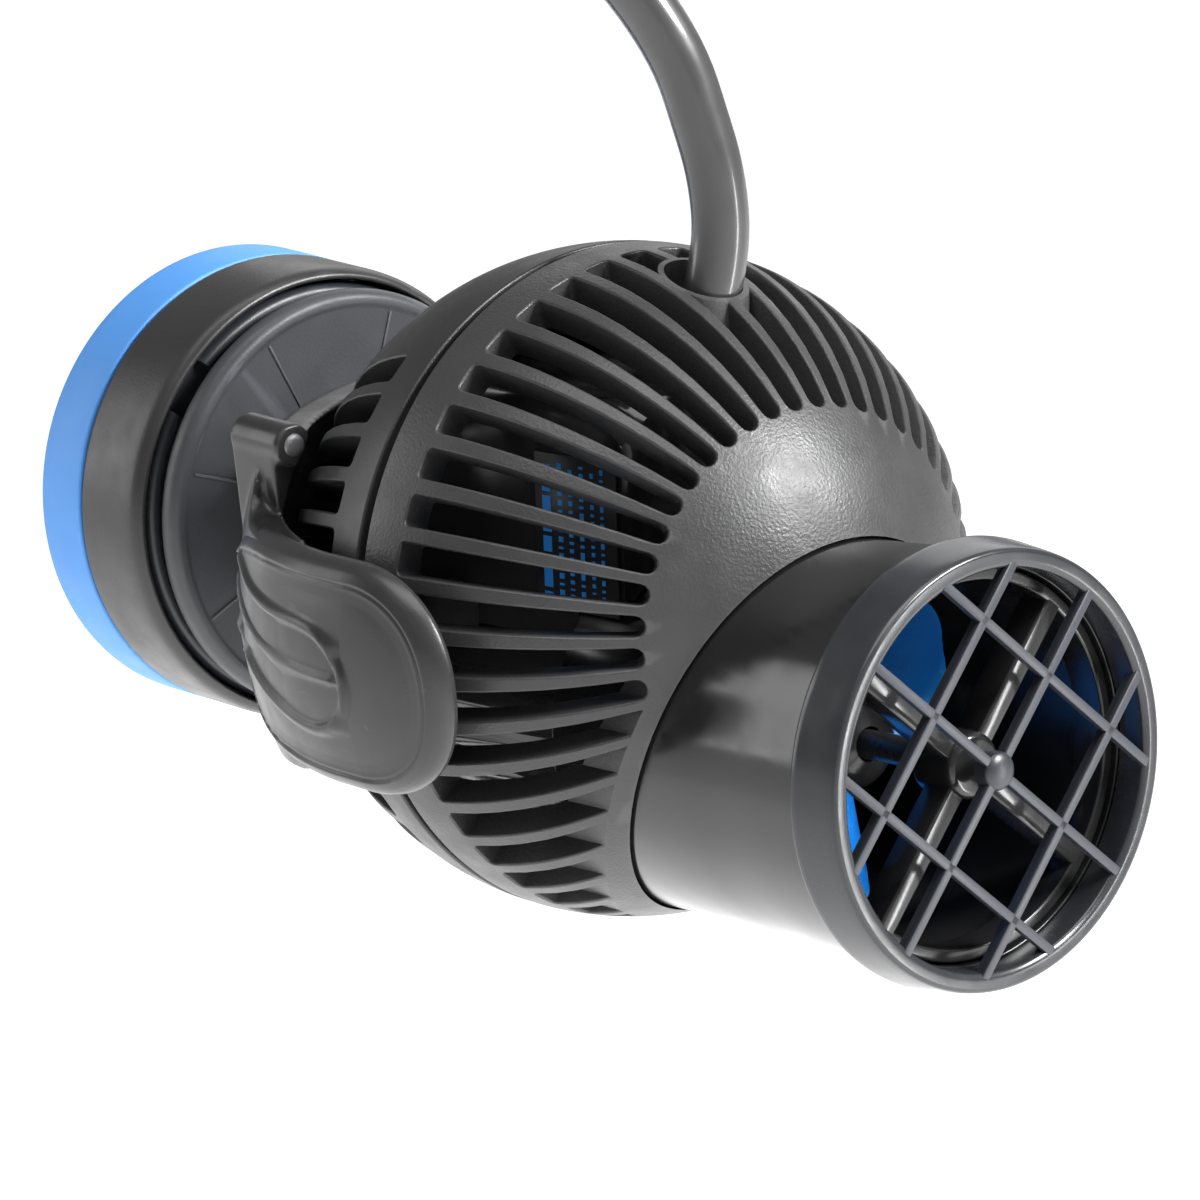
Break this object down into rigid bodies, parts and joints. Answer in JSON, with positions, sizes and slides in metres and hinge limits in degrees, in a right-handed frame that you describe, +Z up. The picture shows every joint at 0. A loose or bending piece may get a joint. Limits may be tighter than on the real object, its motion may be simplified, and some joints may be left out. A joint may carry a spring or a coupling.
{
  "type": "aquarium stream pump",
  "caption": "Slotted ball-shaped water pump with an offset outlet tube and grille, gripped by a clamp on a round magnetic glass holder, with its coiled cable.",
  "frame": {"origin": "middle of the blue pad's flat face, where it rests on the glass pane", "axes": "+X out of the glass, through the holder and the ball to the outlet; +Z up"},
  "size_m": [0.1295, 0.1217, 0.2192],
  "materials": {
    "pad_blue": "satin closed-cell silicone, bright blue",
    "shell_black": "fine spark-eroded moulding texture",
    "gloss_black": "polished black moulding",
    "grey_plastic": "slate grey moulding",
    "rubber_grey": "soft silicone",
    "magnet": "nickel plated magnet",
    "steel": "stainless steel",
    "ceramic": "ground ceramic",
    "prop_blue": "clear bright blue moulding",
    "print_blue": null,
    "cord_black": "smooth glossy PVC cable jacket"
  },
  "bodies": {
    "holder": {"glass_pad": "pad_blue", "magnet_housing": "shell_black", "holder_magnet": "magnet", "backing_plate": "steel", "lock_ring": "grey_plastic"},
    "clamp": {"turn_plate": "grey_plastic", "clamp_screw": "steel", "clamp_bracket": "gloss_black", "clamp_buffer_1": "rubber_grey", "clamp_buffer_2": "rubber_grey", "clamp_buffer_3": "rubber_grey", "clamp_buffer_4": "rubber_grey", "clamp_cap_1": "steel", "clamp_cap_2": "steel"},
    "grip_pads": {"grip_pad_near": "rubber_grey", "grip_pad_far": "rubber_grey"},
    "pump_ball": {"rear_housing": "shell_black", "front_housing": "shell_black", "nozzle_tube": "gloss_black", "bearing_spider": "gloss_black", "motor_block": "gloss_black", "rating_label": "print_blue", "rear_bush": "ceramic", "front_bush": "ceramic", "motor_buffer_rear": "rubber_grey", "motor_buffer_near": "rubber_grey", "motor_buffer_far": "rubber_grey", "cable_gland": "rubber_grey", "cable": "cord_black", "cable_coil": "cord_black", "cable_end": "cord_black", "cable_tie_1": "gloss_black", "cable_tie_2": "gloss_black", "plug_relief": "rubber_grey", "plug_body": "gloss_black", "plug_tip": "steel"},
    "grille": {"outlet_grille": "grey_plastic"},
    "rotor": {"rotor_magnet": "magnet", "rotor_shaft": "ceramic", "propeller": "prop_blue"}
  },
  "joints": [
    {"name": "holder_turn", "type": "hinge", "parent": "holder", "child": "clamp", "pos_m": [0.0186, 0, 0], "axis": [1, 0, 0], "range_deg": [-45, 45]},
    {"name": "ball_tilt", "type": "hinge", "parent": "clamp", "child": "grip_pads", "pos_m": [0.073, 0, 0], "axis": [0, 0.9917, 0.1288], "range_deg": [-40, 40]},
    {"name": "ball_swivel", "type": "hinge", "parent": "grip_pads", "child": "pump_ball", "pos_m": [0.073, 0, 0], "axis": [0, -0.1288, 0.9917], "range_deg": [-18, 18]},
    {"name": "grille_pull", "type": "slide", "parent": "pump_ball", "child": "grille", "axis": [0.9981, 0.0427, 0.0445], "range_m": [0, 0.009]},
    {"name": "rotor_spin", "type": "hinge", "parent": "pump_ball", "child": "rotor", "pos_m": [0.07355, 0.00002, -0.01234], "axis": [0.9981, 0.0427, 0.0445], "continuous": true}
  ]
}
